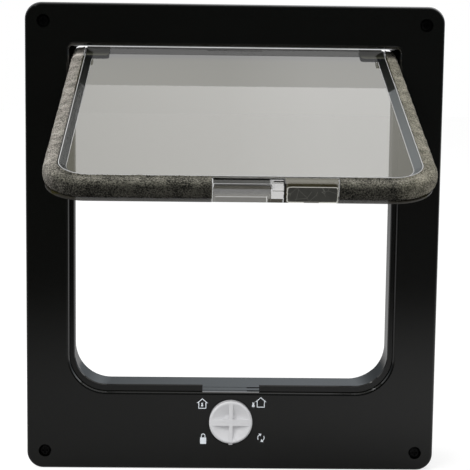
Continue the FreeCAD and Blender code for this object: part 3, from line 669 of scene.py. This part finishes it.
def spin_corner(side, x, foot, radius, steps):
    """Turns the selected section a quarter about the middle of a foot corner."""
    centre = (x, hinge_y, hinge_z - foot + radius)
    bpy.ops.mesh.spin(steps=steps, angle=-math.pi / 2 * side, center=centre, axis=(0, 1, 0))


def cut_lengthwise(longest):
    """Halves the edges that run along the strip until none is longer than wanted."""
    level = 0.000001
    while True:
        mesh = bmesh.from_edit_mesh(bpy.context.edit_object.data)
        found = 0
        for edge in mesh.edges:
            drop = abs(edge.verts[0].co.y - edge.verts[1].co.y)
            edge.select_set(drop < level and edge.calc_length() > longest)
            found += edge.select
        bmesh.update_edit_mesh(bpy.context.edit_object.data)
        if not found:
            return
        bpy.ops.mesh.select_mode(type="EDGE")
        bpy.ops.mesh.subdivide(number_cuts=1)


def finish_strip(piece, material, lean):
    """Closes a strip, leans it with the flap, raises it and lets it ride."""
    bpy.ops.mesh.select_all(action="SELECT")
    bpy.ops.mesh.remove_doubles(threshold=0.000004)
    bpy.ops.mesh.normals_make_consistent(inside=False)
    bpy.ops.object.mode_set(mode="OBJECT")
    for vertex in piece.data.vertices:
        vertex.co.x += lean[0] + lean[1] * (hinge_z - vertex.co.z) / flap_foot
    piece.data.materials.append(material)
    raise_up(piece)
    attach(piece, "flap")


# Brush seals

def pile_section(side):
    """Section of the pile: rounded at the tips, laid a little over the front of the flap's rim at its root."""
    overlap = pile_overlaps[side]
    rim_front, root_gap = 0.00506, 0.00005
    back_fullness, front_fullness, flatness = 0.36, 0.62, 0.7
    root_share, steps = 0.02, 44
    points = [(-side * overlap, -rim_front), (side * root_gap, -rim_front), (side * root_gap, 0.0)]
    for step in range(steps + 1):
        turn = math.pi * (0.5 - step / steps)
        out = abs(math.cos(turn)) ** (back_fullness if turn > 0 else front_fullness)
        level = math.copysign(abs(math.sin(turn)) ** flatness, math.sin(turn))
        points.append((side * (pile_reach - flap_half_width) * (root_share + (1 - root_share) * out),
                       pile_middle + level * pile_half_thickness))
    return points + [(-side * overlap * 0.3, -pile_crown), (-side * overlap * 0.7, -pile_crown),
                     (-side * overlap, -pile_crown + 0.0002)]


def rough_up(piece):
    """Moves the nap in and out by a fraction of a millimetre, coarse and fine."""
    for index, (size, strength) in enumerate(((0.006, 0.0005), (0.0008, 0.0006))):
        clouds = bpy.data.textures.new(piece.name + "_nap_%d" % index, "CLOUDS")
        clouds.noise_scale = size
        clouds.noise_depth = 2
        nap = piece.modifiers.new("nap", "DISPLACE")
        nap.texture = clouds
        nap.strength = strength
        nap.mid_level = 0.55
        apply_modifier(piece, nap)
    bpy.ops.object.shade_smooth()


def brush_seal(name, side, end_x):
    """A dense row of bristles down one side of the flap, round the corner and along its foot."""
    edge, foot = flap_half_width + pile_gap, flap_foot + pile_gap
    piece = drawn_section(name, side * edge, hinge_z - pile_top, pile_section(side))
    extrude_by(0, -(foot - flap_corner - pile_top))
    spin_corner(side, side * (edge - flap_corner), foot, flap_corner, steps=70)
    extrude_by(end_x - side * (edge - flap_corner), 0)
    cut_lengthwise(longest=0.00045)
    finish_strip(piece, seal_pile, pile_leans[side])
    rough_up(piece)
    return piece


block_gap = 0.0003
seal_left = brush_seal("brush_seal_left", -1, block_left - block_gap)
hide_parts("pile_strip_left")
seal_right = brush_seal("brush_seal_right", 1, block_right + block_gap)
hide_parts("pile_strip_right")


# Front of the flap's rim: the fine texture of its slope with its painted shade, and pale beads along its edges that
# are painted highlights

def rim_strip(name, inset, points, material, lean):
    """A thin strip that follows the rim down one side, along the foot and up the other."""
    half, foot, radius = flap_half_width - inset, flap_foot - 0.0005 - inset, flap_corner - inset
    piece = drawn_section(name, -half, hinge_z + rim_top, points)
    extrude_by(0, -(rim_top + foot - radius))
    spin_corner(-1, -(half - radius), foot, radius, steps=14)
    extrude_by(2 * (half - radius), 0)
    spin_corner(-1, half - radius, foot, radius, steps=14)
    extrude_by(0, rim_top + foot - radius)
    finish_strip(piece, material, lean)


def bead_points(front, width, height):
    """An eight-sided bead, standing half out of the rim."""
    turns = [math.pi * 2 * step / 8 for step in range(8)]
    return [(width / 2 * math.cos(turn), -front + height * math.sin(turn)) for turn in turns]


# Two pale beads on the rim's edges: painted highlights
rim_strip("rim_line_outer", 0.00135, bead_points(front=0.0051, width=0.0005, height=0.00022), rim_painted_highlight,
          lean=(0.0003, 0.0006))
rim_strip("rim_line_inner", 0.0053, bead_points(front=0.0026, width=0.0004, height=0.0002), rim_painted_highlight,
          lean=(0.0001, 0.0004))
rim_strip("rim_slope_texture", 0.0016, [(0, -0.00490), (0, -0.00500), (0.0036, -0.00275), (0.0036, -0.00265)],
          rim_frost, lean=(0.0002, 0.0005))


# Printed signs round the dial: flat films on the face of the frame, drawn in millimetres

def make_film(piece):
    """Gives a flat shape the thickness of printed film, standing just out of the face."""
    film = piece.modifiers.new("film", "SOLIDIFY")
    film.thickness = 0.00006
    film.offset = 0.0
    apply_modifier(piece, film)
    piece.data.materials.clear()
    piece.data.materials.append(sign_white)
    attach(piece, "frame")


def merged(name, pieces):
    """Joins the pieces into the first one."""
    deselect_all()
    for piece in pieces:
        piece.select_set(True)
    bpy.context.view_layer.objects.active = pieces[0]
    bpy.ops.object.join()
    pieces[0].name = name
    return pieces[0]


def shape(name, x, z, corners):
    """A flat shape through the given corners, in millimetres from its own centre."""
    deselect_all()
    bpy.ops.mesh.primitive_circle_add(vertices=len(corners), radius=0.001, fill_type="NGON",
                                      location=(x, face_y, z), rotation=(math.pi / 2, 0, 0))
    piece = bpy.context.object
    piece.name = name
    settle(piece)
    for vertex, (across, up) in zip(piece.data.vertices, corners):
        vertex.co = (x + across / 1000, face_y, z + up / 1000)
    return piece


def both_sides(right):
    """A whole outline from its right half, which runs from the foot to the head."""
    left = [(-across, up) for across, up in reversed(right) if across]
    return left[-1:] + right + left[:-1]


def outlined(piece, width):
    """Leaves only a border of the flat shape."""
    pick(piece)
    bpy.ops.object.mode_set(mode="EDIT")
    bpy.ops.mesh.select_all(action="SELECT")
    bpy.ops.mesh.inset(thickness=width / 1000, depth=0)
    bpy.ops.mesh.delete(type="FACE")
    bpy.ops.object.mode_set(mode="OBJECT")
    return piece


def house(name, x, z, width, height):
    """The outline of a house with eaves."""
    wall, eave, eave_z, ridge_z = width / 2 * 0.78, width / 2 * 1.12, height * 0.08, height * 0.58
    corners = both_sides([(wall, -height / 2), (wall, eave_z), (eave, eave_z), (0, ridge_z)])
    return outlined(shape(name, x, z, corners), 0.48)


def sitting_cat(name, x, z, height):
    """A seated cat from the front: body, head and two ears."""
    half = [(0.52, -1), (0.50, -0.35), (0.26, 0.12), (0.40, 0.45), (0.36, 1), (0.12, 0.72)]
    return shape(name, x, z, both_sides([(height / 2 * across, height / 2 * up) for across, up in half]))


def arc_band(name, x, z, radius, width, start, sweep):
    """A flat band that follows an arc, in degrees."""
    steps = 12
    turns = [math.radians(start + sweep * step / steps) for step in range(steps + 1)]
    outer, inner = radius + width / 2, radius - width / 2
    corners = [(outer * math.cos(turn), outer * math.sin(turn)) for turn in turns]
    corners += [(inner * math.cos(turn), inner * math.sin(turn)) for turn in reversed(turns)]
    return shape(name, x, z, corners)


def arrow_head(name, x, z, radius, size, at, direction):
    """A triangle at a place on a circle, pointing along it."""
    turn = math.radians(at)
    ahead = turn + math.pi / 2 * direction
    corners = [(radius * math.cos(turn) + length * math.cos(aim), radius * math.sin(turn) + length * math.sin(aim))
               for length, aim in ((size, ahead), (size * 0.75, turn), (-size * 0.75, turn))]
    return shape(name, x, z, corners)


def padlock(name, x, z):
    """A padlock with round-cornered body, legs and bow."""
    body = shape(name, x, z, both_sides([(1.75, -3.2), (1.85, -3.0), (1.85, 0.7), (1.75, 0.9)]))
    bow = arc_band(name + "_bow", x, z + 0.0020, radius=1.1, width=0.5, start=0, sweep=180)
    leg_corners = [(-0.25, -0.6), (0.25, -0.6), (0.25, 0.65), (-0.25, 0.65)]
    legs = [shape(name + "_leg", x + side * 0.0011, z + 0.0014, leg_corners) for side in (-1, 1)]
    return merged(name, [body, bow] + legs)


def circling_arrows(name, x, z):
    """Two arrows that follow each other round a circle."""
    radius, sweep = 2.0, -95
    parts = []
    for start in (35, 215):
        parts.append(arc_band(name + "_arc", x, z, radius, 0.5, start, sweep))
        parts.append(arrow_head(name + "_head", x, z, radius, 1.5, start + sweep, -1))
    return merged(name, parts)


make_film(merged("sign_indoors", [house("sign_indoors", -0.0175, -0.1007, width=6.2, height=6.0),
                                  sitting_cat("cat_indoors", -0.0176, -0.1011, height=2.4)]))
make_film(merged("sign_outdoors", [house("sign_outdoors", 0.0184, -0.0997, width=6.2, height=6.0),
                                   sitting_cat("cat_outdoors", 0.0138, -0.1009, height=3.1)]))
make_film(padlock("sign_locked", -0.0168, -0.1227))
make_film(circling_arrows("sign_both_ways", 0.0188, -0.1218))


# Floor, world and lamp

def seen_directly(tree):
    """One for rays from the camera, straight or through clear plastic."""
    path = place(tree, "ShaderNodeLightPath")
    return maths(tree, "MAXIMUM", path.outputs["Is Camera Ray"], path.outputs["Is Transmission Ray"])


def build_floor():
    """A pale floor that shows white to the camera and keeps the part's shadow."""
    deselect_all()
    bpy.ops.mesh.primitive_plane_add(size=12.0, location=(0, 0, floor_z - 0.0003))
    floor = bpy.context.object
    floor.name = "floor"
    material, tree, shader = new_material("floor_pale")
    tree.nodes.remove(shader)
    across, deep, _ = axes_of(tree, part_point(tree))
    shade = product(tree, ramp(tree, deep, -0.75, -0.15, 0.04, 0.34, smooth=True),
                    ramp(tree, across, -0.25, 0.25, 0.55, 1.45))
    tone = place(tree, "ShaderNodeCombineColor")
    feed(tree, tone, {"Red": shade, "Green": shade, "Blue": shade})
    diffuse = place(tree, "ShaderNodeBsdfDiffuse")
    feed(tree, diffuse, {"Color": tone.outputs[0]})
    # The ground beside the door is lifted, which keeps it white where the door shades it
    lift = ramp(tree, deep, 0.02, 0.5, 1.16, 1.056)
    glow = place(tree, "ShaderNodeEmission")
    rest = maths(tree, "SUBTRACT", lift, product(tree, shade, 1.15))
    feed(tree, glow, {"Strength": product(tree, seen_directly(tree), rest)})
    both = place(tree, "ShaderNodeAddShader")
    tree.links.new(diffuse.outputs[0], both.inputs[0])
    tree.links.new(glow.outputs[0], both.inputs[1])
    feed(tree, tree.nodes["Material Output"], {"Surface": both.outputs[0]})
    floor.data.materials.append(material)


def build_world():
    """White to the camera; to reflections white behind the door and dim on the camera's side."""
    world = bpy.data.worlds.new("studio")
    bpy.context.scene.world = world
    world.use_nodes = True
    tree = world.node_tree
    tree.nodes.clear()
    across, deep, up = axes_of(tree, place(tree, "ShaderNodeTexCoord").outputs["Generated"])
    above = ramp(tree, up, 0.10, 0.75, 0.14, 1.0, smooth=True)
    mirrored = product(tree, ramp(tree, deep, -0.9, 0.3, 0.22, 1.9, smooth=True), above,
                       ramp(tree, across, -0.16, 0.08, 0.54, 1.07, smooth=True))
    glossy = place(tree, "ShaderNodeLightPath").outputs["Is Glossy Ray"]
    level = blend(tree, seen_directly(tree), blend(tree, glossy, 1.0, mirrored), 1.0)
    cool = product(tree, glossy, maths(tree, "SUBTRACT", 1.0, above))
    background = place(tree, "ShaderNodeBackground")
    feed(tree, background, {"Color": blend(tree, cool, grey(1.0), (0.82, 0.92, 1.0, 1)), "Strength": level})
    feed(tree, place(tree, "ShaderNodeOutputWorld"), {"Surface": background.outputs[0]})


def soft_lamp(name, spot, aim, size, power):
    """A square lamp at a place, turned towards another."""
    data = bpy.data.lights.new(name, "AREA")
    data.shape = "RECTANGLE"
    data.size = data.size_y = size
    data.energy = power
    lamp = bpy.data.objects.new(name, data)
    bpy.context.scene.collection.objects.link(lamp)
    lamp.location = spot
    lamp.rotation_euler = (Vector(aim) - Vector(spot)).to_track_quat("-Z", "Y").to_euler()


build_floor()
build_world()
soft_lamp("key", spot=(-0.9, -1.1, 1.5), aim=(0, 0, 0), size=0.9, power=26.0)


# Camera, where the photograph was taken from: its lens, its place, and its turns in radians

camera_lens = 107.0
camera_place = (-0.01525, -0.85554, 0.10720)
camera_pitch, camera_yaw, camera_roll = -0.122513, 0.0196886, 0.012519


def build_camera():
    data = bpy.data.cameras.new("camera")
    data.sensor_width = 36.0
    data.lens = camera_lens
    camera = bpy.data.objects.new("camera", data)
    bpy.context.scene.collection.objects.link(camera)
    cos_y, sin_y = math.cos(camera_yaw), math.sin(camera_yaw)
    cos_p, sin_p = math.cos(camera_pitch), math.sin(camera_pitch)
    cos_r, sin_r = math.cos(camera_roll), math.sin(camera_roll)
    turn = Matrix(((cos_r, 0, sin_r), (0, 1, 0), (-sin_r, 0, cos_r)))
    turn = turn @ Matrix(((1, 0, 0), (0, cos_p, sin_p), (0, -sin_p, cos_p)))
    turn = turn @ Matrix(((cos_y, -sin_y, 0), (sin_y, cos_y, 0), (0, 0, 1)))
    right, ahead, up = turn[0], turn[1], turn[2]
    pose = Matrix((right, up, -ahead)).transposed().to_4x4()
    pose.translation = camera_place
    camera.matrix_world = pose
    bpy.context.scene.camera = camera


build_camera()
bpy.context.scene.view_settings.view_transform = "Standard"
